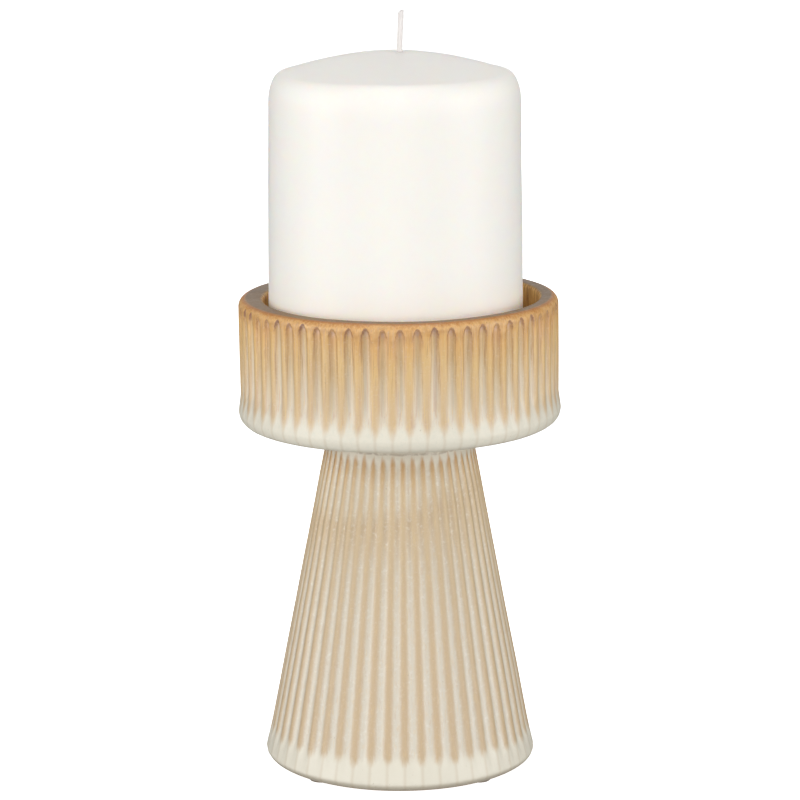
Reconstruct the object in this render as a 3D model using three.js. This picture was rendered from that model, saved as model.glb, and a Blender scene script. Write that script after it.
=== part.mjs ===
// A stoneware pedestal holder with a fluted dish, and the pillar candle that stands in the dish.
// Millimetres, +Z up. The origin is on the axis, on the surface that the holder stands on.

import * as THREE from 'three';

// Clearance between pieces that touch.
const FIT_GAP = 0.3;

// Felt pads under the foot ring.
const PAD_COUNT = 4;
const PAD_RADIUS = 3.4;
const PAD_THICKNESS = 0.9;
const PAD_CIRCLE_RADIUS = 33.4;

// Pedestal: a hollow fluted cone on a thick foot ring. Heights are above its own base.
const PEDESTAL_BASE_Z = PAD_THICKNESS + FIT_GAP;
const PEDESTAL_HEIGHT = 101.5;
const FOOT_FLAT_RADIUS = 37.3;
const FOOT_RADIUS = 40.8;
const FOOT_ROLL_HEIGHT = 2.8;
const FOOT_BORE_RADIUS = 29.5;
const FOOT_RING_HEIGHT = 5;
const CONE_BOTTOM_RADIUS = 39.15;
const CONE_BOTTOM_HEIGHT = 9.7;
const FOOT_FLARE_RADIUS = 39.95;
const CONE_TOP_RADIUS = 22;
const CONE_TOP_HEIGHT = 98.7;
const CONE_WALL = 5.6;
const CONE_FLUTES = 48;
const CONE_FLUTE_DEPTH = 0.7;
const CONE_FLUTE_LOW = 8.5;
const CONE_FLUTE_HIGH = 94.5;
const CONE_FLUTE_PHASE = -4.8;

// Seam of clay slip that joins the pedestal to the dish.
const SEAM_THICKNESS = 1.9;
const SEAM_FLARE = 1.6;

// Dish. Heights are above its own underside.
const DISH_BASE_Z = PEDESTAL_BASE_Z + PEDESTAL_HEIGHT + SEAM_THICKNESS + 2 * FIT_GAP;
const DISH_HEIGHT = 38;
const DISH_UNDERSIDE_RADIUS = 44.4;
const DISH_ROLL_RADIUS = 48.3;
const DISH_ROLL_HEIGHT = 4.1;
const DISH_WALL_RADIUS = 47.6;
const DISH_WALL_BOTTOM = 9.1;
const DISH_BORE_RADIUS = 41.2;
const DISH_FLOOR = 8.7;
const RIM_OUTER_EDGE = 2.5;
const RIM_INNER_EDGE = 1.4;
const DISH_FLUTES = 60;
const DISH_FLUTE_DEPTH = 0.8;
const DISH_FLUTE_LOW = 8;
const DISH_FLUTE_HIGH = 35.5;
const DISH_FLUTE_PHASE = -2.5;

// Height over which a flute runs out at each end.
const FLUTE_RUN_OUT = 2.2;

// Pillar candle, three inches across and four inches tall. Heights are above its base.
const CANDLE_BASE_Z = DISH_BASE_Z + DISH_FLOOR + FIT_GAP;
const CANDLE_RADIUS = 38.1;
const CANDLE_TOP_RADIUS = 37.2;
const CANDLE_HEIGHT = 101.6;
const CANDLE_SHOULDER = 4.2;
const CANDLE_SHOULDER_DROP = 9;
const CANDLE_DOME_SLOPE = 0.43;
const CANDLE_DOME_CROWN = 33;
const CANDLE_BASE_EDGE = 1.2;
const CANDLE_SIDES = 48;

// Wick and the metal disc that holds its lower end.
const WICK_RADIUS = 0.85;
const WICK_EXPOSED = 12;
const WICK_LEAN = 0.5;
const SUSTAINER_RADIUS = 10.2;
const SUSTAINER_THICKNESS = 0.5;
const SUSTAINER_NECK_RADIUS = 2.4;
const SUSTAINER_NECK_HEIGHT = 4.2;

const COLOURS = {
  dish: { color: 0xd8c3a0, roughness: 0.35, metalness: 0 },
  pedestal: { color: 0xdcd0b8, roughness: 0.4, metalness: 0 },
  slip: { color: 0xd9d1bd, roughness: 0.5, metalness: 0 },
  felt: { color: 0x8a8177, roughness: 0.95, metalness: 0 },
  wax: { color: 0xfbf4ea, roughness: 0.45, metalness: 0 },
  cotton: { color: 0xefece6, roughness: 0.9, metalness: 0 },
  tinplate: { color: 0xb9bcc0, roughness: 0.35, metalness: 1 },
};

const group = new THREE.Group();

function addPiece(name, geometry, finish, x, y, z) {
  const mesh = new THREE.Mesh(geometry, new THREE.MeshStandardMaterial(COLOURS[finish]));
  mesh.name = name;
  mesh.position.set(x, y, z);
  group.add(mesh);
}

// A body of revolution about Z. Its outline is a list of [radius, height] that runs
// anticlockwise with the radius to the right, from the axis to the axis or closed on itself.
// The turn starts at the front (-Y), startAngle degrees towards +X.
function turned(outline, sides, startAngle = 0) {
  const points = outline.map(([radius, height]) => new THREE.Vector2(radius, height));
  const start = THREE.MathUtils.degToRad(startAngle);
  const geometry = new THREE.LatheGeometry(points, sides, start, 2 * Math.PI);
  return geometry.rotateX(Math.PI / 2);
}

// A quarter of an ellipse as [radius, height] points, from fromAngle to toAngle in degrees.
function roundCorner(centreRadius, centreHeight, acrossRadius, upRadius, fromAngle, toAngle, steps) {
  const points = [];
  for (let i = 0; i <= steps; i += 1) {
    const angle = THREE.MathUtils.degToRad(fromAngle + (i / steps) * (toAngle - fromAngle));
    points.push([
      centreRadius + acrossRadius * Math.cos(angle),
      centreHeight + upRadius * Math.sin(angle),
    ]);
  }
  return points;
}

// Flutes: every second column of a turned wall moves inwards between the heights low and high.
// innerLimit keeps the inside wall where it is.
function cutFlutes(geometry, { low, high, depth, sides, phase, innerLimit }) {
  const position = geometry.attributes.position;
  const columnStep = (2 * Math.PI) / sides;
  const start = THREE.MathUtils.degToRad(phase);
  for (let i = 0; i < position.count; i += 1) {
    const x = position.getX(i);
    const y = position.getY(i);
    const z = position.getZ(i);
    const radius = Math.hypot(x, y);
    const rise = Math.min(1, (z - low) / FLUTE_RUN_OUT, (high - z) / FLUTE_RUN_OUT);
    if (rise <= 0 || radius < innerLimit(z)) {
      continue;
    }
    const column = Math.round((Math.atan2(x, -y) - start) / columnStep);
    if (Math.abs(column % 2) === 1) {
      const scale = (radius - depth * rise) / radius;
      position.setXY(i, x * scale, y * scale);
    }
  }
  geometry.computeVertexNormals();
}

// Outer radius of the straight cone at a height above the pedestal's base.
function coneRadius(height) {
  const share = (height - CONE_BOTTOM_HEIGHT) / (CONE_TOP_HEIGHT - CONE_BOTTOM_HEIGHT);
  return CONE_BOTTOM_RADIUS + share * (CONE_TOP_RADIUS - CONE_BOTTOM_RADIUS);
}

function addPedestal() {
  const conePoint = (height) => [coneRadius(height), height];
  const borePoint = (height) => [coneRadius(height) - CONE_WALL, height];
  const outline = [
    [FOOT_BORE_RADIUS, 0],
    ...roundCorner(
      FOOT_FLAT_RADIUS, FOOT_ROLL_HEIGHT, FOOT_RADIUS - FOOT_FLAT_RADIUS, FOOT_ROLL_HEIGHT, -90, 0, 3,
    ),
    [FOOT_FLARE_RADIUS, CONE_FLUTE_LOW - FLUTE_RUN_OUT],
    conePoint(CONE_FLUTE_LOW + FLUTE_RUN_OUT),
    conePoint(CONE_FLUTE_HIGH - FLUTE_RUN_OUT),
    conePoint(CONE_FLUTE_HIGH),
    conePoint(CONE_TOP_HEIGHT),
    [CONE_TOP_RADIUS, PEDESTAL_HEIGHT],
    [CONE_TOP_RADIUS - CONE_WALL, PEDESTAL_HEIGHT],
    borePoint(CONE_TOP_HEIGHT),
    borePoint(2 * FOOT_RING_HEIGHT),
    [FOOT_BORE_RADIUS, FOOT_RING_HEIGHT],
    [FOOT_BORE_RADIUS, 0],
  ];
  const sides = 2 * CONE_FLUTES;
  const geometry = turned(outline, sides, CONE_FLUTE_PHASE);
  cutFlutes(geometry, {
    low: CONE_FLUTE_LOW,
    high: CONE_FLUTE_HIGH,
    depth: CONE_FLUTE_DEPTH,
    sides,
    phase: CONE_FLUTE_PHASE,
    innerLimit: (height) => coneRadius(height) - CONE_WALL / 2,
  });
  addPiece('pedestal', geometry, 'pedestal', 0, 0, PEDESTAL_BASE_Z);
}

function addSeam() {
  const innerRadius = CONE_TOP_RADIUS - CONE_WALL + FIT_GAP;
  const outline = [
    [innerRadius, 0],
    [CONE_TOP_RADIUS, 0],
    [CONE_TOP_RADIUS + SEAM_FLARE / 3, SEAM_THICKNESS / 2],
    [CONE_TOP_RADIUS + SEAM_FLARE, SEAM_THICKNESS],
    [innerRadius, SEAM_THICKNESS],
    [innerRadius, 0],
  ];
  const z = PEDESTAL_BASE_Z + PEDESTAL_HEIGHT + FIT_GAP;
  addPiece('luting_seam', turned(outline, CONE_FLUTES), 'slip', 0, 0, z);
}

function addDish() {
  const rollWidth = DISH_ROLL_RADIUS - DISH_UNDERSIDE_RADIUS;
  const wallPoint = (height) => [DISH_WALL_RADIUS, height];
  const rimCorner = (centreRadius, edge, fromAngle, toAngle, steps) => (
    roundCorner(centreRadius, DISH_HEIGHT - edge, edge, edge, fromAngle, toAngle, steps)
  );
  const outline = [
    [0, 0],
    ...roundCorner(DISH_UNDERSIDE_RADIUS, DISH_ROLL_HEIGHT, rollWidth, DISH_ROLL_HEIGHT, -90, 0, 3),
    wallPoint(DISH_WALL_BOTTOM),
    wallPoint(DISH_FLUTE_LOW + 2 * FLUTE_RUN_OUT),
    wallPoint(DISH_FLUTE_HIGH - FLUTE_RUN_OUT),
    ...rimCorner(DISH_WALL_RADIUS - RIM_OUTER_EDGE, RIM_OUTER_EDGE, 0, 90, 3),
    ...rimCorner(DISH_BORE_RADIUS + RIM_INNER_EDGE, RIM_INNER_EDGE, 90, 180, 2),
    [DISH_BORE_RADIUS, DISH_FLOOR + RIM_INNER_EDGE],
    [DISH_BORE_RADIUS - RIM_INNER_EDGE, DISH_FLOOR],
    [0, DISH_FLOOR],
  ];
  const sides = 2 * DISH_FLUTES;
  const geometry = turned(outline, sides, DISH_FLUTE_PHASE);
  cutFlutes(geometry, {
    low: DISH_FLUTE_LOW,
    high: DISH_FLUTE_HIGH,
    depth: DISH_FLUTE_DEPTH,
    sides,
    phase: DISH_FLUTE_PHASE,
    innerLimit: () => DISH_WALL_RADIUS - RIM_INNER_EDGE,
  });
  addPiece('dish', geometry, 'dish', 0, 0, DISH_BASE_Z);
}

function addPads() {
  for (let i = 0; i < PAD_COUNT; i += 1) {
    const angle = ((i + 0.5) / PAD_COUNT) * 2 * Math.PI;
    const geometry = new THREE.CylinderGeometry(PAD_RADIUS, PAD_RADIUS, PAD_THICKNESS, 24);
    geometry.rotateX(Math.PI / 2);
    const x = PAD_CIRCLE_RADIUS * Math.cos(angle);
    const y = PAD_CIRCLE_RADIUS * Math.sin(angle);
    addPiece(`felt_pad_${i + 1}`, geometry, 'felt', x, y, PAD_THICKNESS / 2);
  }
}

// Height of the candle's gently crowned top at a radius.
function crownHeight(radius) {
  const fall = Math.hypot(radius, CANDLE_DOME_CROWN) - CANDLE_DOME_CROWN;
  return CANDLE_HEIGHT - CANDLE_DOME_SLOPE * fall;
}

function addCandle() {
  const channelRadius = WICK_RADIUS + FIT_GAP;
  const recessRadius = SUSTAINER_RADIUS + FIT_GAP;
  const recessHeight = SUSTAINER_THICKNESS + 2 * FIT_GAP;
  const neckRadius = SUSTAINER_NECK_RADIUS + FIT_GAP;
  const neckHeight = SUSTAINER_NECK_HEIGHT + 2 * FIT_GAP;
  const crownRadius = CANDLE_TOP_RADIUS - CANDLE_SHOULDER;
  const crownPoint = (radius) => [radius, crownHeight(radius)];
  const shoulderHeight = crownHeight(crownRadius) - CANDLE_SHOULDER_DROP;
  const outline = [
    [recessRadius, 0],
    [CANDLE_RADIUS - CANDLE_BASE_EDGE, 0],
    [CANDLE_RADIUS, CANDLE_BASE_EDGE],
    ...roundCorner(crownRadius, shoulderHeight, CANDLE_SHOULDER, CANDLE_SHOULDER_DROP, 0, 90, 4),
    crownPoint(0.75 * crownRadius),
    crownPoint(0.5 * crownRadius),
    crownPoint(0.25 * crownRadius),
    crownPoint(channelRadius),
    [channelRadius, neckHeight],
    [neckRadius, neckHeight],
    [neckRadius, recessHeight],
    [recessRadius, recessHeight],
    [recessRadius, 0],
  ];
  addPiece('candle_wax', turned(outline, CANDLE_SIDES), 'wax', 0, 0, CANDLE_BASE_Z);
}

function addSustainer() {
  const innerRadius = WICK_RADIUS + FIT_GAP;
  const outline = [
    [innerRadius, 0],
    [SUSTAINER_RADIUS, 0],
    [SUSTAINER_RADIUS, SUSTAINER_THICKNESS],
    [SUSTAINER_NECK_RADIUS, SUSTAINER_THICKNESS],
    [SUSTAINER_NECK_RADIUS, SUSTAINER_NECK_HEIGHT],
    [innerRadius, SUSTAINER_NECK_HEIGHT],
    [innerRadius, 0],
  ];
  addPiece('wick_sustainer', turned(outline, 24), 'tinplate', 0, 0, CANDLE_BASE_Z + FIT_GAP);
}

// The wick is straight in the wax and leans a little where it stands clear.
function addWick() {
  const section = new THREE.Shape().absarc(0, 0, WICK_RADIUS, 0, 2 * Math.PI);
  const buriedLength = CANDLE_HEIGHT - FIT_GAP;
  const bottom = new THREE.Vector3(0, 0, 0);
  const surface = new THREE.Vector3(0, 0, buriedLength);
  const bend = new THREE.Vector3(0, 0, buriedLength + WICK_EXPOSED / 2);
  const tip = new THREE.Vector3(WICK_LEAN, 0, buriedLength + WICK_EXPOSED);
  const path = new THREE.CurvePath();
  path.add(new THREE.LineCurve3(bottom, surface));
  path.add(new THREE.QuadraticBezierCurve3(surface, bend, tip));
  const geometry = new THREE.ExtrudeGeometry(section, {
    steps: 40,
    curveSegments: 4,
    bevelEnabled: false,
    extrudePath: path,
  });
  addPiece('wick', geometry, 'cotton', 0, 0, CANDLE_BASE_Z + FIT_GAP);
}

addPads();
addPedestal();
addSeam();
addDish();
addCandle();
addSustainer();
addWick();

export default group;
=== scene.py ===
"""Looks for a fluted stoneware pillar candle holder and its candle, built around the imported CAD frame."""

import math
import random

import bpy
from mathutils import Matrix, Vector, noise


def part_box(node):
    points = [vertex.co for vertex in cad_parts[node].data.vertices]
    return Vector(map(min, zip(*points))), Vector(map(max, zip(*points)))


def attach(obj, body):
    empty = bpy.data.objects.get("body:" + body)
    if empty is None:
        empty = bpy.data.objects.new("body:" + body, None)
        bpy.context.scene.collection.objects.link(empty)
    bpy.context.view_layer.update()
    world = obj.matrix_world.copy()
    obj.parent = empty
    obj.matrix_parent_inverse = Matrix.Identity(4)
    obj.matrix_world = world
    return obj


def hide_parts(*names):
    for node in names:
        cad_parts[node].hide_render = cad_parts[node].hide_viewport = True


MM = 0.001

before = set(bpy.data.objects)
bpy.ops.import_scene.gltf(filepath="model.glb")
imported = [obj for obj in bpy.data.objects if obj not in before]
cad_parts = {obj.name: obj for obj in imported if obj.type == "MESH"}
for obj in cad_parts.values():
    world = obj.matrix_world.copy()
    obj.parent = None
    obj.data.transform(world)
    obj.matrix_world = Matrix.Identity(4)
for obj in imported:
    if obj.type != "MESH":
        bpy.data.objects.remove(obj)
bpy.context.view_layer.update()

# ---------------------------------------------------------------------------------------------
# Sizes. Places come from the frame; details that the frame leaves plain are named here.
# ---------------------------------------------------------------------------------------------

dish_low, dish_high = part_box("dish")
pedestal_low, pedestal_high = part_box("pedestal")
seam_low, seam_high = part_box("luting_seam")
wax_low, wax_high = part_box("candle_wax")
wick_low, wick_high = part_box("wick")
tin_low, tin_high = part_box("wick_sustainer")

# Dish. Heights are above its underside.
DISH_FLUTES = 60
DISH_FLUTE_SEED = 11
DISH_FLUTE_PHASE = math.radians(-2.5)
DISH_FLUTE_DEPTH = 1.0 * MM
DISH_DEPTH_RANGE = (0.92, 1.08)
DISH_FOOT_DEPTH = 0.12
DISH_ARCH_BLUNTNESS = 0.9 * MM
DISH_ARCH_SCATTER = 0.7 * MM
DISH_ROLL_RADIUS = dish_high.x
DISH_WALL_RADIUS = DISH_ROLL_RADIUS - 0.7 * MM
DISH_UNDERSIDE_RADIUS = DISH_ROLL_RADIUS - 3.9 * MM
DISH_BORE_RADIUS = DISH_WALL_RADIUS - 6.6 * MM
RIM_EDGE_RADIUS = DISH_WALL_RADIUS - 1.5 * MM
LIP_RADIUS = DISH_WALL_RADIUS - 1.6 * MM
LIP_WIDTH = 0.4 * MM
DISH_HEIGHT = dish_high.z - dish_low.z
DISH_FLUTE_TOP = DISH_HEIGHT - 1.25 * MM
DISH_FLOOR = wax_low.z - 0.3 * MM - dish_low.z
DISH_TILT = math.radians(0.7)
DISH_BORE_SHIFT = Vector((0.9, -0.5, 0)) * MM
DISH_UNEVEN = 0.12 * MM
DISH_RIM_UNEVEN = 0.15 * MM

# Pedestal. Heights are above its foot.
CONE_FLUTES = 48
CONE_FLUTE_SEED = 23
CONE_FLUTE_PHASE = math.radians(-5.4)
CONE_FLUTE_DEPTH = 0.7 * MM
CONE_DEPTH_RANGE = (0.9, 1.1)
CONE_FOOT_DEPTH = 0.2
CONE_TOP_DEPTH = 0.6
CONE_FLUTE_TOP = 96.8 * MM
CONE_JOINT = 98.2 * MM
CONE_JOINT_LEDGE = 0.3 * MM
CONE_JOINT_UNEVEN = 0.25 * MM
CONE_UNEVEN = 0.12 * MM
FOOT_RADIUS = pedestal_high.x
FOOT_BORE_RADIUS = FOOT_RADIUS - 11.3 * MM
CONE_BOTTOM_RADIUS = FOOT_RADIUS - 1.65 * MM
CONE_BOTTOM_HEIGHT = 9.7 * MM
CONE_TOP_RADIUS = 22 * MM
CONE_TOP_HEIGHT = 98.7 * MM
CONE_WALL = 5.6 * MM
PEDESTAL_HEIGHT = pedestal_high.z - pedestal_low.z
THIN_GLAZE_SIDE = math.radians(-70)
SEAM_LUMP = 0.3 * MM

# Candle and wick. Heights are above the base of each.
CANDLE_RADIUS = wax_high.x
CANDLE_TOP_RADIUS = CANDLE_RADIUS - 0.9 * MM
CANDLE_HEIGHT = wax_high.z - wax_low.z
CANDLE_SHOULDER = 4.2 * MM
CANDLE_SHOULDER_DROP = 9 * MM
CANDLE_DOME_SLOPE = 0.43
CANDLE_DOME_CROWN = 33 * MM
CANDLE_UNEVEN = 0.16 * MM
CANDLE_SHIFT = -1.1 * MM
CANDLE_TILT = math.radians(0.36)

WICK_RADIUS = 0.85 * MM
WICK_EXPOSED = 12 * MM
WICK_LAY = 3.4 * MM
WICK_RELIEF = 0.08
WICK_DRIFT = 1.6 * MM

# The units of the glaze layers "arch" and "rise".
ARCH_UNIT = 10 * MM
RISE_UNIT = 100 * MM

# Points round each turned body.
DISH_COLUMNS = 12 * DISH_FLUTES
CONE_COLUMNS = 12 * CONE_FLUTES
SEAM_COLUMNS = 192
PAD_COLUMNS = 72
WAX_COLUMNS = 192
WICK_COLUMNS = 32
TIN_COLUMNS = 96

# ---------------------------------------------------------------------------------------------
# Camera: at the photograph's viewing angle, a metre away and looking down at the dish.
# ---------------------------------------------------------------------------------------------

CAMERA_DISTANCE = 0.9902
CAMERA_HEIGHT = 0.3249
CAMERA_PITCH = math.radians(12.18)
CAMERA_LENS = 152.2
CAMERA_SENSOR = 36


def add_camera():
    camera = bpy.data.objects.new("camera", bpy.data.cameras.new("camera"))
    bpy.context.scene.collection.objects.link(camera)
    camera.location = (0, -CAMERA_DISTANCE, CAMERA_HEIGHT)
    camera.rotation_euler = (math.pi / 2 - CAMERA_PITCH, 0, 0)
    camera.data.sensor_width = CAMERA_SENSOR
    camera.data.lens = CAMERA_LENS
    bpy.context.scene.camera = camera


add_camera()

# ---------------------------------------------------------------------------------------------
# Small maths
# ---------------------------------------------------------------------------------------------


def smooth(value, low, high):
    """0 below low, 1 above high, and an S between them."""
    share = min(1.0, max(0.0, (value - low) / (high - low)))
    return share * share * (3 - 2 * share)


def blend(low, high, share):
    return low + (high - low) * share


def bell(value, centre, width):
    return math.exp(-(((value - centre) / width) ** 2))


def wobble(point, size, seed):
    """Smooth noise from -1 to 1 with features of about that size, in metres."""
    return noise.noise(point / size + Vector((seed, 3 * seed, 7 * seed)))


def line(start, end, count):
    """count points after start, evenly up to end."""
    return [
        (blend(start[0], end[0], i / count), blend(start[1], end[1], i / count))
        for i in range(1, count + 1)
    ]


def corner(centre, across, up, from_degrees, to_degrees, count):
    """Points on an arc of an ellipse, both ends included."""
    points = []
    for i in range(count + 1):
        angle = math.radians(blend(from_degrees, to_degrees, i / count))
        points.append((centre[0] + across * math.cos(angle), centre[1] + up * math.sin(angle)))
    return points


def in_zone(zone, points):
    return [(radius, height, zone) for radius, height in points]


# ---------------------------------------------------------------------------------------------
# Meshes
# ---------------------------------------------------------------------------------------------


def make_object(name, vertices, faces, layers, material):
    mesh = bpy.data.meshes.new(name)
    mesh.from_pydata(vertices, [], faces)
    for layer, values in layers.items():
        mesh.attributes.new(layer, "FLOAT", "POINT").data.foreach_set("value", values)
    mesh.validate()
    mesh.shade_smooth()
    mesh.materials.append(material)
    piece = bpy.data.objects.new(name, mesh)
    bpy.context.scene.collection.objects.link(piece)
    return piece


def turned(name, outline, columns, place, paint, material):
    """A closed turned body. outline lists (radius, height, zone) anticlockwise with the radius to
    the right, from axis to axis or round a loop. place(angle, radius, height, zone) gives a point
    and paint, with the same arguments, a dict of glaze layers. Angle 0 faces -Y, towards +X."""
    vertices, rows, layers = [], [], {}
    for radius, height, zone in outline:
        count = 1 if radius == 0 else columns
        rows.append((len(vertices), count))
        for i in range(count):
            angle = 2 * math.pi * i / columns
            vertices.append(place(angle, radius, height, zone))
            for layer, value in paint(angle, radius, height, zone).items():
                layers.setdefault(layer, []).append(value)
    pairs = list(zip(rows, rows[1:]))
    if outline[0][0] != 0:
        pairs.append((rows[-1], rows[0]))
    faces = []
    for (low, low_count), (high, high_count) in pairs:
        for i in range(columns):
            after = (i + 1) % columns
            face = [low + i % low_count, low + after % low_count]
            face += [high + after % high_count, high + i % high_count]
            faces.append(list(dict.fromkeys(face)))
    return make_object(name, vertices, faces, layers, material)


def at(angle, radius, height):
    return Vector((radius * math.sin(angle), -radius * math.cos(angle), height))


def no_paint(angle, radius, height, zone):
    return {}


def leaned(point, pivot_height, tilt, shift=0.0):
    """A small turn about the Y axis, raising the +X side, as hand work leaves it."""
    lift = point.z - pivot_height
    return Vector((point.x + shift - lift * tilt, point.y, point.z + point.x * tilt))


class Flutes:
    """Flutes round a wall: how far a place is from a rib's crest, and chance for each of them."""

    def __init__(self, count, phase, seed):
        chance = random.Random(seed)
        self.count = count
        self.phase = phase
        self.pitch = 2 * math.pi / count
        self.flute_chance = [chance.random() for _ in range(count)]
        self.rib_chance = [chance.random() for _ in range(count)]

    def share(self, angle):
        """0 on a rib's crest and 1 in the middle of a flute."""
        turn = (angle - self.phase) / self.pitch
        return 2 * abs(turn - round(turn))

    def of_flute(self, angle):
        return self.flute_chance[math.floor((angle - self.phase) / self.pitch) % self.count]

    def of_rib(self, angle):
        return self.rib_chance[round((angle - self.phase) / self.pitch) % self.count]


FLUTE_SHARPNESS = 1.15


def hollow(share):
    """Cross-section of a flute: 0 on the rib and 1 at its deepest."""
    return (0.5 - 0.5 * math.cos(math.pi * share)) ** FLUTE_SHARPNESS


# ---------------------------------------------------------------------------------------------
# Materials: a small way to write node trees
# ---------------------------------------------------------------------------------------------


def linear(red, green, blue):
    """A display colour, 0 to 255, as linear light by the sRGB curve."""
    values = [component / 255 for component in (red, green, blue)]
    return [v / 12.92 if v <= 0.04045 else ((v + 0.055) / 1.055) ** 2.4 for v in values] + [1]


# The Mix node's colour sockets, which share their names with its other kinds.
MIX_SHARE = 0
MIX_FIRST = 6
MIX_SECOND = 7
MIX_RESULT = 2


class Finish:
    """A material whose nodes are written as function calls."""

    def __init__(self, name, **shader):
        self.material = bpy.data.materials.new(name)
        self.material.use_nodes = True
        self.nodes = self.material.node_tree.nodes
        self.links = self.material.node_tree.links
        self.shader = self.nodes["Principled BSDF"]
        for socket, value in shader.items():
            self.shader.inputs[socket.replace("_", " ")].default_value = value
        self.place = self.make("ShaderNodeTexCoord").outputs["Object"]

    def make(self, kind, **settings):
        node = self.nodes.new(kind)
        for key, value in settings.items():
            setattr(node, key, value)
        return node

    def feed(self, socket, value):
        if isinstance(value, bpy.types.NodeSocket):
            self.links.new(value, socket)
        else:
            socket.default_value = value

    def layer(self, name):
        return self.make("ShaderNodeAttribute", attribute_name=name).outputs["Fac"]

    def maths(self, operation, first, second):
        node = self.make("ShaderNodeMath", operation=operation)
        for socket, value in zip(node.inputs, (first, second)):
            self.feed(socket, value)
        return node.outputs[0]

    def add(self, first, second):
        return self.maths("ADD", first, second)

    def times(self, first, second):
        return self.maths("MULTIPLY", first, second)

    def about(self, value, amount):
        """A 0 to 1 value turned into a swing of that amount about 0."""
        return self.times(self.maths("SUBTRACT", value, 0.5), amount)

    def smooth(self, value, low, high):
        """0 at low, 1 at high and an S between them, whichever of them is larger."""
        node = self.make("ShaderNodeMapRange", interpolation_type="SMOOTHSTEP")
        self.feed(node.inputs["Value"], value)
        node.inputs["From Min"].default_value = low
        node.inputs["From Max"].default_value = high
        return node.outputs["Result"]

    def stretched(self, x, y, z):
        node = self.make("ShaderNodeVectorMath", operation="MULTIPLY")
        self.feed(node.inputs[0], self.place)
        node.inputs[1].default_value = (x, y, z)
        return node.outputs[0]

    def noise(self, size, detail=2.0, roughness=0.5, stretch=(1, 1, 1)):
        """Noise from 0 to 1 with features of about that size in metres."""
        node = self.make("ShaderNodeTexNoise")
        self.feed(node.inputs["Vector"], self.stretched(*stretch))
        node.inputs["Scale"].default_value = 1 / size
        node.inputs["Detail"].default_value = detail
        node.inputs["Roughness"].default_value = roughness
        return node.outputs["Fac"]

    def ramp(self, value, stops):
        """stops are (position, display colour)."""
        node = self.make("ShaderNodeValToRGB")
        self.feed(node.inputs["Fac"], value)
        elements = node.color_ramp.elements
        while len(elements) < len(stops):
            elements.new(1.0)
        for element, (position, colour) in zip(elements, stops):
            element.position = position
            element.color = linear(*colour)
        return node.outputs["Color"]

    def mix(self, share, first, second):
        """first where share is 0 and second where it is 1. Either may be a display colour."""
        node = self.make("ShaderNodeMix", data_type="RGBA")
        self.feed(node.inputs[MIX_SHARE], share)
        for socket, colour in ((MIX_FIRST, first), (MIX_SECOND, second)):
            self.feed(node.inputs[socket], linear(*colour) if isinstance(colour, tuple) else colour)
        return node.outputs[MIX_RESULT]

    def tint(self, colour, share, amount, tone):
        """colour with up to that amount of tone over it, where share is 1."""
        return self.mix(self.times(share, amount), colour, tone)

    def bump(self, height, distance, under=None):
        node = self.make("ShaderNodeBump")
        node.inputs["Strength"].default_value = 1.0
        node.inputs["Distance"].default_value = distance
        self.feed(node.inputs["Height"], height)
        if under is not None:
            self.links.new(under, node.inputs["Normal"])
        return node.outputs["Normal"]

    def done(self, colour, roughness=None, normal=None):
        self.links.new(colour, self.shader.inputs["Base Color"])
        if roughness is not None:
            self.links.new(roughness, self.shader.inputs["Roughness"])
        if normal is not None:
            self.links.new(normal, self.shader.inputs["Normal"])
        return self.material


# ---------------------------------------------------------------------------------------------
# Glazes, in display colours. The walls carry layers: "rib" is 1 on a crest and 0 in mid-flute,
# "drop" goes from 0 at the dish's rim to 1 at its foot, "rise" from 0 at the pedestal's foot to
# about 1 at its top, and "arch" is 0 along the top of each flute and grows downwards. The "chance"
# layers are one number for each flute or rib, so that no two look the same.
# ---------------------------------------------------------------------------------------------

GLAZE_ROUGHNESS = 0.49
CREAM = (232, 226, 209)
COOL_CREAM = (222, 220, 204)
CREST_TAN = (206, 190, 162)
IRON_SPECK = (150, 122, 90)
PALE_MOTTLE = (240, 232, 218)
CLAY_DARK = (176, 148, 116)
CLAY_PALE = (214, 190, 158)


def new_glaze(name):
    return Finish(name, Roughness=0.5, Specular_IOR_Level=0.7)


def add_specks(finish, colour):
    """A few iron specks in the glaze, and a fine pale mottle."""
    dark = finish.smooth(finish.noise(0.9 * MM, 1.0), 0.74, 0.82)
    colour = finish.tint(colour, dark, 0.25, IRON_SPECK)
    pale = finish.smooth(finish.noise(0.8 * MM, 4.0, 0.7), 0.5, 0.8)
    return finish.tint(colour, pale, 0.22, PALE_MOTTLE)


def add_bare_clay(finish, colour):
    grain = finish.noise(0.35 * MM, 3.0, 0.7)
    clay = finish.mix(grain, CLAY_DARK, CLAY_PALE)
    return finish.mix(finish.layer("bare"), colour, clay)


def add_crests(finish, colour, cover):
    """Thin tan lines where the ribs' crests show through the cream."""
    crest = finish.times(finish.maths("POWER", finish.layer("rib"), 14.0), cover)
    return finish.tint(colour, crest, 0.35, CREST_TAN)


def glaze_surface(finish, colour):
    """Satin glaze: soft waves and orange peel under a clear skin."""
    waves = finish.noise(2.5 * MM, 2.0)
    peel = finish.noise(0.5 * MM, 3.0, 0.6)
    normal = finish.bump(waves, 0.12 * MM)
    normal = finish.bump(peel, 0.03 * MM, under=normal)
    roughness = finish.add(GLAZE_ROUGHNESS, finish.about(finish.noise(4 * MM, 3.0), 0.2))
    return finish.done(colour, roughness, normal)


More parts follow.
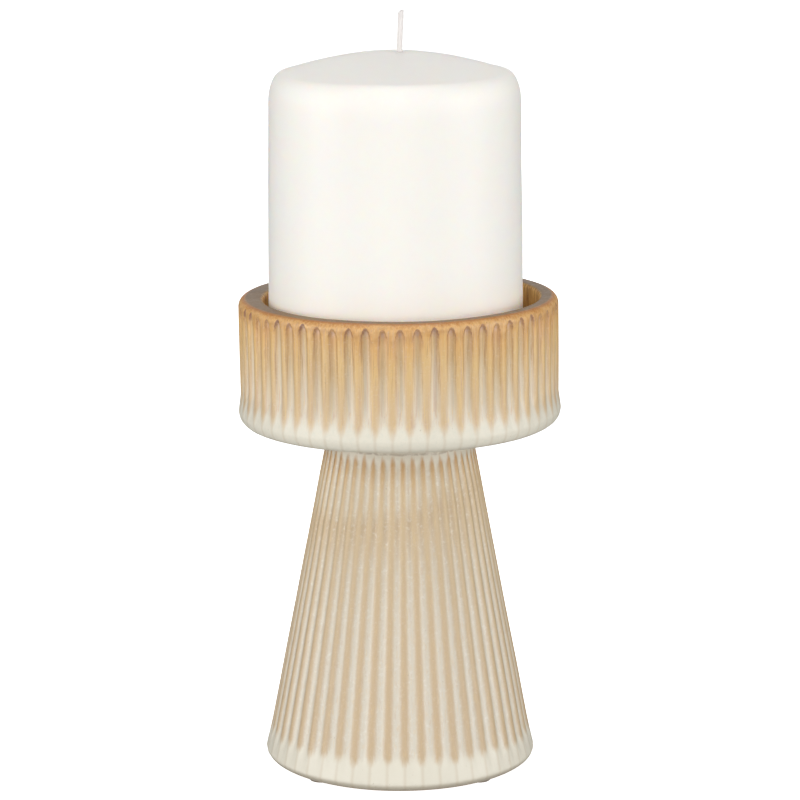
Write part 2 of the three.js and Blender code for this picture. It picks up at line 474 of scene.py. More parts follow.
# Tones by "drop" for the dish, and by "rise" for the pedestal further down.
DISH_RIB_TONES = [
    (0.00, (200, 134, 64)),
    # The bright stop at 0.035, on the rim's rounding, is partly the glaze's own peach and partly a painted
    # highlight.
    (0.035, (228, 180, 116)),
    (0.07, (206, 156, 94)),
    (0.13, (220, 172, 104)),
    (0.32, (222, 186, 126)),
    (0.60, (219, 188, 141)),
    (0.80, (214, 186, 145)),
]
DISH_FLUTE_TONES = [
    (0.04, (206, 160, 108)),
    (0.14, (204, 168, 120)),
    (0.27, (202, 172, 128)),
    (0.40, (211, 190, 156)),
    (0.55, (216, 200, 174)),
    (0.75, (222, 210, 190)),
]
DISH_GOLD = (234, 202, 138)
DISH_ROSE = (204, 168, 142)
FLANK_BROWN_AND_SHADE = (168, 116, 62)
THREAD_BROWN = (160, 112, 62)
BURNT_AMBER = (198, 140, 66)
ARCH_BROWN_AND_SHADOW = (138, 90, 76)
POOL_ROSE_AND_HIGHLIGHT = (210, 180, 162)
DISH_UNDERSIDE_SHADE = (160, 142, 118)
LIP_AMBER = (176, 108, 44)
RIM_DARK_AND_SHADE = (104, 74, 34)
RIM_PALE_AND_SHADE = (142, 108, 58)
BORE_DARK = (170, 116, 48)
BORE_PALE = (228, 186, 112)


def dish_tones(finish, place, streaks, patches):
    """The colour of ribs and flutes by height, and how far the glaze breaks to the rib's tone."""
    drop = finish.layer("drop")
    below_rim = finish.smooth(drop, 0.03, 0.12)
    own = finish.times(finish.about(finish.layer("rib_chance"), 0.14), below_rim)
    on_rib = finish.ramp(finish.add(place, own), DISH_RIB_TONES)
    flute_place = finish.add(place, finish.about(finish.layer("chance"), 0.3))
    in_flute = finish.ramp(flute_place, DISH_FLUTE_TONES)
    ragged = finish.add(finish.about(streaks, 0.8), finish.times(drop, -0.3))
    width = finish.add(finish.layer("rib"), ragged)
    width = finish.add(width, finish.about(patches, 0.5))
    breaking = finish.smooth(width, -0.07, 0.88)
    return finish.mix(breaking, in_flute, on_rib), breaking


def add_dish_streaks(finish, colour, breaking):
    """Golden and rosy runs, brown lines down the ribs' flanks that are partly glaze breaking and partly
    painted shade in the creases, and thin brown threads.
    """
    drop = finish.layer("drop")
    golden = finish.noise(0.5 * MM, 3.0, 0.65, stretch=(1, 1, 0.035))
    colour = finish.tint(colour, finish.smooth(golden, 0.5, 0.68), 0.4, DISH_GOLD)
    rosy = finish.noise(0.8 * MM, 3.0, 0.6, stretch=(1.1, 1.1, 0.045))
    colour = finish.tint(colour, finish.smooth(rosy, 0.52, 0.68), 0.45, DISH_ROSE)
    fine = finish.noise(0.32 * MM, 3.0, 0.65, stretch=(1, 1, 0.03))
    # Flank lines: partly glaze breaking at the rib's edge, partly painted shade where rib meets flute.
    flank = finish.times(finish.smooth(breaking, 0.1, 0.45), finish.smooth(breaking, 0.95, 0.6))
    flank = finish.times(flank, finish.smooth(drop, 0.8, 0.2))
    flank = finish.times(flank, finish.smooth(fine, 0.36, 0.58))
    colour = finish.tint(colour, flank, 0.55, FLANK_BROWN_AND_SHADE)
    threads = finish.times(finish.smooth(fine, 0.58, 0.7), finish.smooth(drop, 0.75, 0.3))
    return finish.tint(colour, threads, 0.45, THREAD_BROWN)


def add_flute_tops(finish, colour, place):
    """Burnt amber near the rim, and at the top of each flute a brown arch, partly glaze and partly painted
    shadow under the step, with a rosy pool below it, partly glaze and partly painted highlight.
    """
    rib = finish.layer("rib")
    burnt = finish.smooth(finish.noise(1.6 * MM, 3.0), 0.5, 0.66)
    burnt = finish.times(burnt, finish.smooth(place, 0.2, 0.05))
    colour = finish.tint(colour, burnt, 0.5, BURNT_AMBER)
    ragged = finish.add(finish.layer("arch"), finish.about(finish.noise(0.8 * MM, 3.0), 0.1))
    # The brown arch is partly the glaze's own mark and partly painted shadow under the step where the flute
    # starts.
    arch_mark_and_shadow = finish.times(finish.smooth(ragged, -0.06, 0.01), finish.smooth(ragged, 0.2, 0.04))
    arch_mark_and_shadow = finish.times(arch_mark_and_shadow, finish.smooth(rib, 0.9, 0.4))
    strength = finish.add(0.1, finish.times(finish.layer("chance"), 0.72))
    colour = finish.mix(finish.times(arch_mark_and_shadow, strength), colour, ARCH_BROWN_AND_SHADOW)
    # The rosy pool just below the arch is partly the glaze's colour and partly a painted highlight.
    rosy_pool_and_highlight = finish.times(finish.smooth(ragged, 0.05, 0.13), finish.smooth(ragged, 0.32, 0.15))
    rosy_pool_and_highlight = finish.times(finish.times(rosy_pool_and_highlight, 0.55), finish.smooth(rib, 0.22, 0.05))
    return finish.mix(rosy_pool_and_highlight, colour, POOL_ROSE_AND_HIGHLIGHT)


def add_dish_foot(finish, colour, streaks, patches):
    """Thick curdled cream that has run to the foot of the wall."""
    drop = finish.layer("drop")
    ragged = finish.add(finish.times(finish.layer("rib"), -0.07), finish.about(streaks, 0.1))
    run = finish.add(finish.add(drop, ragged), finish.about(patches, 0.05))
    cream = finish.smooth(run, 0.71, 0.83)
    curds = finish.smooth(finish.noise(1.1 * MM, 4.0, 0.7), 0.42, 0.7)
    colour = finish.mix(cream, colour, finish.tint(CREAM, curds, 0.5, COOL_CREAM))
    colour = add_crests(finish, colour, cream)
    # Painted shade: the lower edge of the roll, facing the floor, is tinted towards grey-brown.
    return finish.tint(colour, finish.smooth(drop, 0.965, 0.99), 0.12, DISH_UNDERSIDE_SHADE)


def add_rim_and_bore(finish, colour):
    """An amber line round the lip, a brown rim that is partly the glaze's own brown and partly painted
    shade, and streaked amber inside.
    """
    colour = finish.tint(colour, finish.layer("lip"), 0.8, LIP_AMBER)
    # The rim's top: the glaze's brown, made darker by painted shade for the dim light from above.
    rim_tone_and_shade = finish.mix(finish.noise(5 * MM, 3.0), RIM_DARK_AND_SHADE, RIM_PALE_AND_SHADE)
    colour = finish.mix(finish.layer("rim"), colour, rim_tone_and_shade)
    runs = finish.noise(1.2 * MM, 3.0, 0.6, stretch=(1, 1, 0.1))
    inside = finish.mix(finish.smooth(runs, 0.35, 0.65), BORE_DARK, BORE_PALE)
    return finish.mix(finish.layer("bore"), colour, inside)


def dish_glaze():
    """Amber where it breaks over the ribs and rim, grey cream in the flutes, cream at the foot."""
    finish = new_glaze("dish_glaze")
    streaks = finish.noise(0.7 * MM, 3.0, 0.65, stretch=(1, 1, 0.05))
    patches = finish.noise(2.6 * MM, 2.0, stretch=(1, 1, 0.4))
    blotches = finish.noise(9 * MM, 2.0, stretch=(1, 1, 0.5))
    sway = finish.add(finish.about(blotches, 0.1), finish.about(streaks, 0.1))
    place = finish.add(finish.layer("drop"), sway)
    colour, breaking = dish_tones(finish, place, streaks, patches)
    colour = add_dish_streaks(finish, colour, breaking)
    colour = add_flute_tops(finish, colour, place)
    colour = add_dish_foot(finish, colour, streaks, patches)
    colour = add_rim_and_bore(finish, colour)
    colour = add_specks(finish, colour)
    return glaze_surface(finish, add_bare_clay(finish, colour))


CONE_RIB_TONES = [
    (0.30, (205, 180, 144)),
    (0.78, (208, 184, 146)),
    (0.87, (206, 180, 140)),
    (0.92, (200, 164, 114)),
    (0.95, (196, 154, 102)),
]
CONE_FLUTE_TONES = [
    (0.10, (224, 216, 200)),
    (0.50, (221, 211, 193)),
    (0.68, (216, 203, 181)),
    (0.80, (207, 187, 157)),
    (0.88, (199, 176, 142)),
    (0.97, (214, 202, 180)),
]
CONE_GOLD = (226, 200, 152)
CONE_ROSE = (206, 178, 150)
FLUTE_MOTTLE = (240, 236, 226)
COLLAR_CREAM = (226, 218, 200)
JOINT_BROWN = (146, 122, 92)
CONE_FOOT_EDGE = (150, 134, 108)


def cone_tones(finish, streaks):
    """The colour of ribs and flutes by height, and how far the glaze breaks to the rib's tone."""
    rise = finish.layer("rise")
    blotches = finish.noise(12 * MM, 2.0, stretch=(1, 1, 0.5))
    place = finish.add(rise, finish.about(blotches, 0.06))
    on_rib = finish.ramp(place, CONE_RIB_TONES)
    flute_place = finish.add(place, finish.times(finish.layer("thin"), 0.2))
    in_flute = finish.ramp(flute_place, CONE_FLUTE_TONES)
    width = finish.add(finish.layer("rib"), finish.about(streaks, 0.45))
    width = finish.add(width, finish.times(finish.smooth(rise, 0.76, 0.92), -0.05))
    breaking = finish.smooth(width, 0.08, 1.0)
    return finish.mix(breaking, in_flute, on_rib), breaking


def add_cone_streaks(finish, colour, breaking):
    """Golden and rosy runs, and a pale mottle in the flutes."""
    golden = finish.noise(0.5 * MM, 3.0, 0.6, stretch=(1, 1, 0.03))
    colour = finish.tint(colour, finish.smooth(golden, 0.52, 0.7), 0.3, CONE_GOLD)
    rosy = finish.noise(0.8 * MM, 3.0, 0.6, stretch=(1.1, 1.1, 0.04))
    colour = finish.tint(colour, finish.smooth(rosy, 0.54, 0.7), 0.3, CONE_ROSE)
    mottle = finish.smooth(finish.noise(1.3 * MM, 4.0, 0.7), 0.5, 0.72)
    mottle = finish.times(mottle, finish.maths("SUBTRACT", 1.0, breaking))
    return finish.tint(colour, mottle, 0.45, FLUTE_MOTTLE)


def add_cone_collar(finish, colour, streaks):
    """A cream collar under the dish, with the broken brown line of the joint on it."""
    rise = finish.layer("rise")
    ragged = finish.add(finish.times(finish.layer("rib"), -0.024), finish.about(streaks, 0.04))
    dip = finish.add(finish.add(rise, ragged), finish.about(finish.layer("rib_chance"), 0.012))
    colour = finish.mix(finish.smooth(dip, 0.928, 0.96), colour, COLLAR_CREAM)
    joint = finish.add(rise, finish.about(finish.noise(5 * MM, 3.0), 0.012))
    joint = finish.times(finish.smooth(joint, 0.976, 0.981), finish.smooth(joint, 0.988, 0.983))
    joint = finish.times(joint, finish.smooth(finish.noise(1.5 * MM, 2.0), 0.3, 0.6))
    return finish.tint(colour, joint, 0.5, JOINT_BROWN)


def add_cone_foot(finish, colour, streaks):
    """The cream band round the foot, darker along its lower edge."""
    rise = finish.layer("rise")
    ragged = finish.add(finish.times(finish.layer("rib"), 0.014), finish.about(streaks, 0.03))
    run = finish.add(finish.add(rise, ragged), finish.about(finish.layer("rib_chance"), 0.012))
    foot = finish.smooth(run, 0.118, 0.082)
    colour = add_crests(finish, finish.mix(foot, colour, CREAM), foot)
    return finish.tint(colour, finish.smooth(rise, 0.03, 0.014), 0.6, CONE_FOOT_EDGE)


def pedestal_glaze():
    """Tan on the ribs, speckled cream in the flutes, with a cream collar and foot band."""
    finish = new_glaze("pedestal_glaze")
    streaks = finish.noise(0.8 * MM, 3.0, 0.6, stretch=(1, 1, 0.06))
    colour, breaking = cone_tones(finish, streaks)
    colour = add_cone_streaks(finish, colour, breaking)
    colour = add_cone_collar(finish, colour, streaks)
    colour = add_cone_foot(finish, colour, streaks)
    colour = add_specks(finish, colour)
    return glaze_surface(finish, add_bare_clay(finish, colour))


SLIP_DARK = (186, 168, 136)
SLIP_PALE = (230, 222, 204)
SLIP_SHADE = (140, 120, 94)


def seam_glaze():
    """Lumpy slip under the glaze, browner where it meets the dish."""
    finish = new_glaze("seam_glaze")
    lumps = finish.noise(2.5 * MM, 3.0)
    colour = finish.mix(finish.smooth(lumps, 0.3, 0.7), SLIP_DARK, SLIP_PALE)
    joint = finish.smooth(finish.add(finish.layer("up"), finish.about(lumps, 0.9)), 0.7, 1.0)
    colour = finish.tint(colour, joint, 0.6, SLIP_SHADE)
    return glaze_surface(finish, add_specks(finish, colour))


# ---------------------------------------------------------------------------------------------
# Dish
# ---------------------------------------------------------------------------------------------

dish_flutes = Flutes(DISH_FLUTES, DISH_FLUTE_PHASE, DISH_FLUTE_SEED)


def dish_outline():
    roll = 4.1 * MM
    wall_low = 9.1 * MM
    outer_edge = 2.5 * MM
    inner_edge = 1.4 * MM
    wall_high = DISH_HEIGHT - outer_edge
    arches_low = wall_high - 8 * MM
    rim_outer = (DISH_WALL_RADIUS - outer_edge, DISH_HEIGHT - outer_edge)
    rim_inner = (DISH_BORE_RADIUS + inner_edge, DISH_HEIGHT - inner_edge)
    floor_edge = (DISH_BORE_RADIUS - inner_edge, DISH_FLOOR + inner_edge)
    roll_centre = (DISH_UNDERSIDE_RADIUS, roll)
    roll_width = DISH_ROLL_RADIUS - DISH_UNDERSIDE_RADIUS
    bore_top = (DISH_BORE_RADIUS, rim_inner[1])
    under = [(0, 0)] + line((0, 0), (DISH_UNDERSIDE_RADIUS, 0), 8)[:-1]
    wall = corner(roll_centre, roll_width, roll, -90, 0, 9)
    wall += line((DISH_ROLL_RADIUS, roll), (DISH_WALL_RADIUS, wall_low), 8)
    wall += line((DISH_WALL_RADIUS, wall_low), (DISH_WALL_RADIUS, arches_low), 22)
    wall += line((DISH_WALL_RADIUS, arches_low), (DISH_WALL_RADIUS, wall_high), 24)
    wall += corner(rim_outer, outer_edge, outer_edge, 0, 90, 16)[1:]
    rim = line((rim_outer[0], DISH_HEIGHT), (rim_inner[0], DISH_HEIGHT), 4)
    rim += corner(rim_inner, inner_edge, inner_edge, 90, 180, 6)[1:]
    bore = line(bore_top, (DISH_BORE_RADIUS, floor_edge[1]), 12)
    floor = corner(floor_edge, inner_edge, inner_edge, 0, -90, 4)[1:]
    floor += line((floor_edge[0], DISH_FLOOR), (0, DISH_FLOOR), 6)
    return (
        in_zone("under", under) + in_zone("wall", wall) + in_zone("rim", rim)
        + in_zone("bore", bore) + in_zone("floor", floor)
    )


def dish_arch(angle, height):
    """Depth below the arch at the top of the flute, negative above it."""
    off_centre = (1 - dish_flutes.share(angle)) * dish_flutes.pitch / 2 * DISH_WALL_RADIUS
    rise = (dish_flutes.of_flute(angle) - 0.5) * DISH_ARCH_SCATTER
    return DISH_FLUTE_TOP + rise - off_centre**2 / DISH_ARCH_BLUNTNESS - height


def dish_place(angle, radius, height, zone):
    point = at(angle, radius, height)
    if zone == "wall":
        above_foot = smooth(height, 7 * MM, 14 * MM)
        depth = DISH_FLUTE_DEPTH * blend(*DISH_DEPTH_RANGE, dish_flutes.of_flute(angle))
        depth *= smooth(dish_arch(angle, height), 0, 1.6 * MM)
        depth *= blend(DISH_FOOT_DEPTH, 1, above_foot) * smooth(height, 1 * MM, 5 * MM)
        point = at(angle, radius - depth * hollow(dish_flutes.share(angle)), height)
    if height > DISH_FLOOR:
        inward = smooth(radius, RIM_EDGE_RADIUS, DISH_BORE_RADIUS)
        point += DISH_BORE_SHIFT * inward * smooth(height, DISH_FLOOR + 2 * MM, DISH_HEIGHT)
    if zone != "under":
        point += at(angle, DISH_UNEVEN * wobble(point, 18 * MM, seed=1.0), 0)
        raised = smooth(height, 0, DISH_HEIGHT)
        point.z += DISH_RIM_UNEVEN * wobble(point, 30 * MM, seed=2.0) * raised
    point.z += dish_low.z
    return leaned(point, dish_low.z, DISH_TILT)


def dish_paint(angle, radius, height, zone):
    round_rim = zone in ("wall", "rim") and height > DISH_HEIGHT / 2
    over_edge = smooth(radius, RIM_EDGE_RADIUS, RIM_EDGE_RADIUS - 1 * MM)
    lip = bell(radius, LIP_RADIUS, LIP_WIDTH)
    inner_side = smooth(radius, DISH_BORE_RADIUS + 1.0 * MM, DISH_BORE_RADIUS + 0.2 * MM)
    arch = dish_arch(angle, height)
    cut = hollow(dish_flutes.share(angle)) * smooth(arch, -0.2 * MM, 0.5 * MM)
    return {
        "rib": 1 - cut if zone == "wall" else 1.0,
        "drop": (DISH_HEIGHT - height) / DISH_HEIGHT,
        "arch": arch / ARCH_UNIT if zone == "wall" else -1.0,
        "chance": dish_flutes.of_flute(angle),
        "rib_chance": dish_flutes.of_rib(angle),
        "rim": over_edge if round_rim else 0.0,
        "lip": lip if round_rim else 0.0,
        "bore": {"rim": inner_side, "bore": 1.0, "floor": 1.0}.get(zone, 0.0),
        "bare": 1.0 if zone == "under" and radius < CONE_TOP_RADIUS else 0.0,
    }


def add_dish():
    piece = turned(
        "glazed_dish", dish_outline(), DISH_COLUMNS, dish_place, dish_paint, dish_glaze(),
    )
    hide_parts("dish")
    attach(piece, "holder")


# ---------------------------------------------------------------------------------------------
# Pedestal and the seam under the dish
# ---------------------------------------------------------------------------------------------

cone_flutes = Flutes(CONE_FLUTES, CONE_FLUTE_PHASE, CONE_FLUTE_SEED)


def cone_radius(height):
    share = (height - CONE_BOTTOM_HEIGHT) / (CONE_TOP_HEIGHT - CONE_BOTTOM_HEIGHT)
    return blend(CONE_BOTTOM_RADIUS, CONE_TOP_RADIUS, share)


def pedestal_outline():
    roll = 2.8 * MM
    roll_width = 3.5 * MM
    ring_height = 5 * MM
    flare = (FOOT_RADIUS - 0.85 * MM, 6.3 * MM)
    cone_low = (cone_radius(10.7 * MM), 10.7 * MM)
    cone_high = (cone_radius(90 * MM), 90 * MM)
    cone_top = (CONE_TOP_RADIUS, CONE_TOP_HEIGHT)
    bore_top = CONE_TOP_RADIUS - CONE_WALL
    bore_low = (cone_radius(2 * ring_height) - CONE_WALL, 2 * ring_height)
    foot = line((FOOT_BORE_RADIUS, 0), (FOOT_RADIUS - roll_width, 0), 3)[:-1]
    wall = corner((FOOT_RADIUS - roll_width, roll), roll_width, roll, -90, 0, 8)
    wall += line((FOOT_RADIUS, roll), flare, 5)
    wall += line(flare, cone_low, 8)
    wall += line(cone_low, cone_high, 50)
    wall += line(cone_high, cone_top, 20)
    wall += line(cone_top, (CONE_TOP_RADIUS, PEDESTAL_HEIGHT), 12)
    inside = line((CONE_TOP_RADIUS, PEDESTAL_HEIGHT), (bore_top, PEDESTAL_HEIGHT), 3)
    inside += line((bore_top, PEDESTAL_HEIGHT), (bore_top, CONE_TOP_HEIGHT), 2)
    inside += line((bore_top, CONE_TOP_HEIGHT), bore_low, 14)
    inside += line(bore_low, (FOOT_BORE_RADIUS, ring_height), 3)
    inside += line((FOOT_BORE_RADIUS, ring_height), (FOOT_BORE_RADIUS, 0), 3)
    return in_zone("foot", foot) + in_zone("wall", wall) + in_zone("inside", inside)


def pedestal_place(angle, radius, height, zone):
    point = at(angle, radius, height)
    if zone == "wall":
        narrowing = blend(CONE_TOP_DEPTH, 1, min(1.0, radius / CONE_BOTTOM_RADIUS))
        own = blend(*CONE_DEPTH_RANGE, cone_flutes.of_flute(angle))
        above_foot = smooth(height, 5 * MM, 12 * MM)
        depth = CONE_FLUTE_DEPTH * narrowing * own
        depth *= smooth(CONE_FLUTE_TOP - height, 0, 2.5 * MM)
        depth *= blend(CONE_FOOT_DEPTH, 1, above_foot) * smooth(height, 0, 3 * MM)
        point = at(angle, radius - depth * hollow(cone_flutes.share(angle)), height)
        point += at(angle, CONE_UNEVEN * wobble(point, 20 * MM, seed=3.0), 0)
        round_top = at(angle, CONE_TOP_RADIUS, 0)
        uneven = CONE_JOINT_UNEVEN * wobble(round_top, 6 * MM, seed=8.0)
        over_joint = smooth(height - CONE_JOINT - uneven, -0.1 * MM, 0.5 * MM)
        point += at(angle, (CONE_JOINT_LEDGE + uneven) * over_joint, 0)
    point.z += pedestal_low.z
    return point


def pedestal_paint(angle, radius, height, zone):
    upper = smooth(height, 55 * MM, 90 * MM)
    return {
        "rib": 1 - hollow(cone_flutes.share(angle)) if zone == "wall" else 0.0,
        "rise": height / RISE_UNIT,
        "rib_chance": cone_flutes.of_rib(angle),
        "thin": upper * (0.5 + 0.5 * math.cos(angle - THIN_GLAZE_SIDE)),
        "bare": 0.0 if zone == "wall" and height > 0.5 * MM else 1.0,
    }


def add_pedestal():
    piece = turned(
        "glazed_pedestal", pedestal_outline(), CONE_COLUMNS, pedestal_place, pedestal_paint,
        pedestal_glaze(),
    )
    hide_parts("pedestal")
    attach(piece, "holder")


def seam_place(angle, radius, height, zone):
    point = at(angle, radius, height + seam_low.z)
    outside = smooth(radius, CONE_TOP_RADIUS - 1 * MM, CONE_TOP_RADIUS)
    return point + at(angle, SEAM_LUMP * wobble(point, 4 * MM, seed=4.0) * outside, 0)


def seam_paint(angle, radius, height, zone):
    return {"up": height / (seam_high.z - seam_low.z)}


def add_seam():
    """A ring of slip in the corner between the pedestal and the underside of the dish."""
    inner = CONE_TOP_RADIUS - CONE_WALL + 0.3 * MM
    thickness = seam_high.z - seam_low.z
    outer = seam_high.x
    outline = line((inner, 0), (CONE_TOP_RADIUS, 0), 3)
    outline += corner((outer, 0), outer - CONE_TOP_RADIUS, thickness, 180, 90, 8)[1:]
    outline += line((outer, thickness), (inner, thickness), 3)
    outline += line((inner, thickness), (inner, 0), 2)
    piece = turned(
        "slip_seam", in_zone("seam", outline), SEAM_COLUMNS, seam_place, seam_paint, seam_glaze(),
    )
    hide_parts("luting_seam")
    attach(piece, "holder")


# ---------------------------------------------------------------------------------------------
# Felt pads
# ---------------------------------------------------------------------------------------------

FELT_DARK = (122, 114, 102)
FELT_PALE = (170, 161, 146)
FELT_TUFT = (112, 103, 92)


def felt_material():
    """Short pressed felt: fine fibres in soft tufts."""
    finish = Finish("felt", Roughness=0.95, Sheen_Weight=0.3, Sheen_Roughness=0.5)
    fibres = finish.noise(0.25 * MM, 4.0, 0.75)
    tufts = finish.noise(1.2 * MM, 3.0)
    colour = finish.tint(finish.mix(fibres, FELT_DARK, FELT_PALE), tufts, 0.4, FELT_TUFT)
    return finish.done(colour, normal=finish.bump(fibres, 0.15 * MM))


def add_pad(node, material):
    """A round felt pad with soft edges, slightly frayed."""
    low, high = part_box(node)
    centre = Vector(((low.x + high.x) / 2, (low.y + high.y) / 2, low.z))
    radius = (high.x - low.x) / 2
    thickness = high.z - low.z
    edge = 0.25 * MM
    side = corner((radius - edge, edge), edge, edge, -90, 0, 4)
    side += corner((radius - edge, thickness - edge), edge, edge, 0, 90, 4)
    outline = [(0, 0)] + line((0, 0), (radius - edge, 0), 5)[:-1] + side
    outline += line((radius - edge, thickness), (0, thickness), 5)

    def place(angle, radius, height, zone):
        point = at(angle, radius, height) + centre
        frayed = 0.08 * MM * wobble(point, 0.7 * MM, seed=5.0) * smooth(radius, 1 * MM, 3 * MM)
        return point + at(angle, frayed, 0)

    outline = in_zone("pad", outline)
    piece = turned(f"{node}_cloth", outline, PAD_COLUMNS, place, no_paint, material)
    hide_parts(node)
    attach(piece, "holder")


# ---------------------------------------------------------------------------------------------
# Candle
# ---------------------------------------------------------------------------------------------

WAX_WARM = (254, 247, 238)
WAX_PALE = (255, 250, 243)
WAX_BLOOM = (251, 243, 233)


def wax_material():
    """Warm white wax with a faint bloom, and a weak painted glow (emission) standing in for the light that
    scatters inside.
    """
    finish = Finish(
        "wax", Roughness=0.5, Subsurface_Weight=0.6, Subsurface_Radius=(1.0, 0.7, 0.5),
        Subsurface_Scale=4 * MM, Emission_Color=(1, 0.95, 0.88, 1), Emission_Strength=0.07,
    )
    clouds = finish.noise(14 * MM, 3.0)
    bloom = finish.noise(1.5 * MM, 4.0, 0.7)
    colour = finish.tint(finish.mix(clouds, WAX_WARM, WAX_PALE), bloom, 0.2, WAX_BLOOM)
    roughness = finish.add(0.46, finish.about(bloom, 0.16))
    normal = finish.bump(finish.noise(6 * MM, 2.0), 0.15 * MM)
    normal = finish.bump(bloom, 0.02 * MM, under=normal)
    return finish.done(colour, roughness, normal)


def crown_height(radius):
    """The candle's rounded top, with a dimple round the wick and wax that climbs up it."""
    fall = math.hypot(radius, CANDLE_DOME_CROWN) - CANDLE_DOME_CROWN
    dimple = 0.7 * MM * bell(radius, 0, 2.6 * MM)
    climb = 0.9 * MM * bell(radius, 0, 1.05 * MM)
    return CANDLE_HEIGHT - CANDLE_DOME_SLOPE * fall - dimple + climb


def wax_outline():
    channel = WICK_RADIUS + 0.1 * MM
    recess_radius = tin_high.x + 0.3 * MM
    recess_height = 1.1 * MM
    neck_radius = 2.7 * MM
    neck_height = 4.8 * MM
    edge = 1.4 * MM
    crown_radius = CANDLE_TOP_RADIUS - CANDLE_SHOULDER
    shoulder_height = crown_height(crown_radius) - CANDLE_SHOULDER_DROP
    base = line((recess_radius, 0), (CANDLE_RADIUS - edge, 0), 6)
    side = corner((CANDLE_RADIUS - edge, edge), edge, edge, -90, 0, 5)[1:]
    side += line((CANDLE_RADIUS, edge), (CANDLE_TOP_RADIUS, shoulder_height), 40)
    side += corner(
        (crown_radius, shoulder_height), CANDLE_SHOULDER, CANDLE_SHOULDER_DROP, 0, 90, 14,
    )[1:]
    rings = 40
    radii = [blend(crown_radius, channel, (i / rings) ** 0.7) for i in range(1, rings + 1)]
    top = [(radius, crown_height(radius)) for radius in radii]
    inside = line(top[-1], (channel, neck_height), 8)
    inside += line((channel, neck_height), (neck_radius, neck_height), 2)
    inside += line((neck_radius, neck_height), (neck_radius, recess_height), 3)
    inside += line((neck_radius, recess_height), (recess_radius, recess_height), 4)
    inside += line((recess_radius, recess_height), (recess_radius, 0), 2)
    return in_zone("side", base + side + top) + in_zone("inside", inside)


def candle_lean(point):
    return leaned(point, wax_low.z, CANDLE_TILT, CANDLE_SHIFT)


def wick_drift(radius, height):
    """How far the wick and the wax close to it stray to the right on their way up."""
    return WICK_DRIFT * smooth(radius, 9 * MM, 1.5 * MM) * smooth(height, 10 * MM, 100 * MM)


def wax_place(angle, radius, height, zone):
    point = at(angle, radius, height)
    if zone == "side":
        amount = CANDLE_UNEVEN * smooth(radius, 3 * MM, 12 * MM)
        point += at(angle, amount * wobble(point, 24 * MM, seed=6.0), 0)
        point.z += amount * wobble(point, 15 * MM, seed=7.0) * smooth(height, 20 * MM, 90 * MM)
    point.x += wick_drift(radius, height)
    point.z += wax_low.z
    return candle_lean(point)


def add_wax():
    piece = turned("candle_body", wax_outline(), WAX_COLUMNS, wax_place, no_paint, wax_material())
    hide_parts("candle_wax")
    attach(piece, "candle")


COTTON_GREY = (216, 212, 211)
COTTON_PALE = (242, 239, 238)
COTTON_WAXED = (244, 236, 230)


def cotton_material():
    """Fine pale fibres, smoother and warmer where wax has soaked in."""
    finish = Finish("cotton", Roughness=0.75, Sheen_Weight=0.2, Sheen_Roughness=0.5)
    fibres = finish.noise(0.12 * MM, 4.0, 0.7, stretch=(1, 1, 0.35))
    waxed = finish.noise(0.9 * MM, 2.0)
    colour = finish.tint(finish.mix(fibres, COTTON_GREY, COTTON_PALE), waxed, 0.4, COTTON_WAXED)
    return finish.done(colour, normal=finish.bump(fibres, 0.06 * MM))


def add_wick():
    """A braid of eight strands, two sets of four that cross as they wind, cut at a slant."""
    length = wick_high.z - wick_low.z
    in_wax = length - WICK_EXPOSED
    end_height = length - 0.5 * MM
    cut_height = length - 1.4 * MM
    cut_slant = 0.55
    tip_bend = wick_high.x - WICK_RADIUS * 1.06
    rows = line((WICK_RADIUS, 0), (WICK_RADIUS, in_wax), 30)
    rows += line((WICK_RADIUS, in_wax), (WICK_RADIUS, end_height), 90)
    outline = [(0, 0), (WICK_RADIUS * 0.98, 0)] + rows + [(0, length)]

    def place(angle, radius, height, zone):
        turn = 2 * math.pi * height / WICK_LAY
        one = abs(math.sin(2 * (angle + turn / 2)))
        other = abs(math.sin(2 * (angle - turn / 2)))
        relief = max(one, other) * WICK_RELIEF + (1 - WICK_RELIEF)
        bend = smooth(height, in_wax, length) * tip_bend
        cut = cut_slant * radius * math.sin(angle) * smooth(height, cut_height, end_height)
        point = at(angle, radius * relief, height + cut + wick_low.z)
        point.x += bend + wick_drift(radius, height + wick_low.z - wax_low.z)
        return candle_lean(point)

    outline = in_zone("wick", outline)
    piece = turned("cotton_wick", outline, WICK_COLUMNS, place, no_paint, cotton_material())
    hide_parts("wick")
    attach(piece, "candle")


TIN_STAINED = (176, 178, 180)
TIN_BRIGHT = (206, 207, 208)


def tin_material():
    """Dull tinplate with fine scratches and faint stains."""
    finish = Finish("tinplate", Metallic=1.0, Roughness=0.35)
    scratches = finish.noise(0.5 * MM, 3.0, stretch=(0.1, 1, 1))
    stains = finish.noise(5 * MM, 3.0)
    colour = finish.mix(stains, TIN_STAINED, TIN_BRIGHT)
    roughness = finish.add(0.28, finish.times(scratches, 0.25))
    return finish.done(colour, roughness, finish.bump(scratches, 0.02 * MM))


